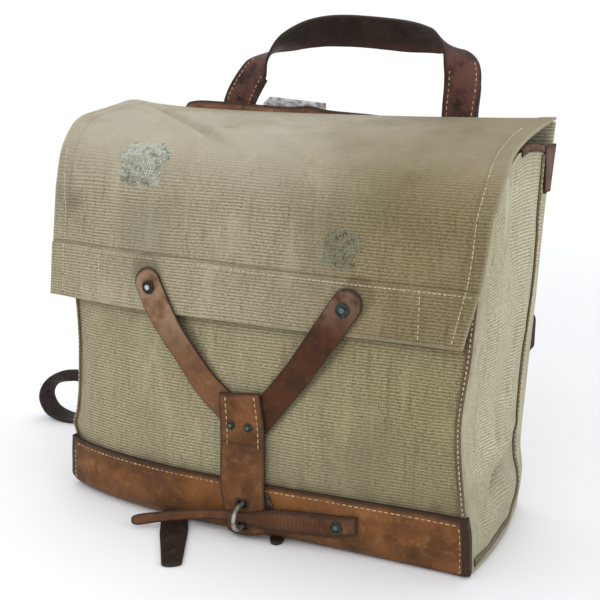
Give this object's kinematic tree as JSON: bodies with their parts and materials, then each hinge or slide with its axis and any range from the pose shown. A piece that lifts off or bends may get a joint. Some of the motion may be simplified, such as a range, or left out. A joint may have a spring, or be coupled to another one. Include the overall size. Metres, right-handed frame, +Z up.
{
  "type": "canvas haversack",
  "caption": "Canvas haversack with a leather base, a flap held down by a Y-shaped leather strap closure, and a leather carrying handle.",
  "frame": {"origin": "on the floor, under the middle of the bag's body", "axes": "+X to the right as seen from the front, +Y towards the back, +Z up; the bag stands on its base at z = 0"},
  "size_m": [0.4667, 0.2321, 0.3681],
  "materials": {
    "canvas_front": "worn olive-khaki canvas with horizontal ribs",
    "canvas_flap": "worn grey-beige canvas with horizontal ribs",
    "canvas_side": "pale green-grey canvas",
    "brown_leather": "mid brown leather, darker at the edges",
    "faded_leather": "faded reddish-brown leather",
    "handle_leather": "dark reddish-brown leather with stitched ends",
    "dark_leather": "very dark brown leather",
    "steel": "dull grey steel",
    "rivet_metal": "oxidised rivets with a green patina"
  },
  "bodies": {
    "root": {"front_panel": "canvas_front", "gusset_left": "canvas_side", "gusset_right": "canvas_side", "back_panel": "canvas_side", "flap": "canvas_flap", "leather_base": "brown_leather", "corner_patch": "brown_leather", "back_yoke": "brown_leather", "belt_hook": "steel", "handle": "handle_leather", "handle_end_left": "handle_leather", "handle_end_right": "handle_leather", "closure_arm_left": "faded_leather", "closure_arm_right": "faded_leather", "closure_tab": "brown_leather", "staple_plate": "steel", "staple": "steel", "closure_tongue": "brown_leather", "arm_rivet_left": "rivet_metal", "arm_rivet_right": "rivet_metal", "tab_rivet_left": "rivet_metal", "tab_rivet_right": "rivet_metal", "tongue_rivet": "rivet_metal", "handle_rivet": "rivet_metal", "rear_strap": "dark_leather", "rear_loop": "dark_leather", "floor_tongue": "dark_leather", "strap_stub": "dark_leather"}
  },
  "joints": []
}
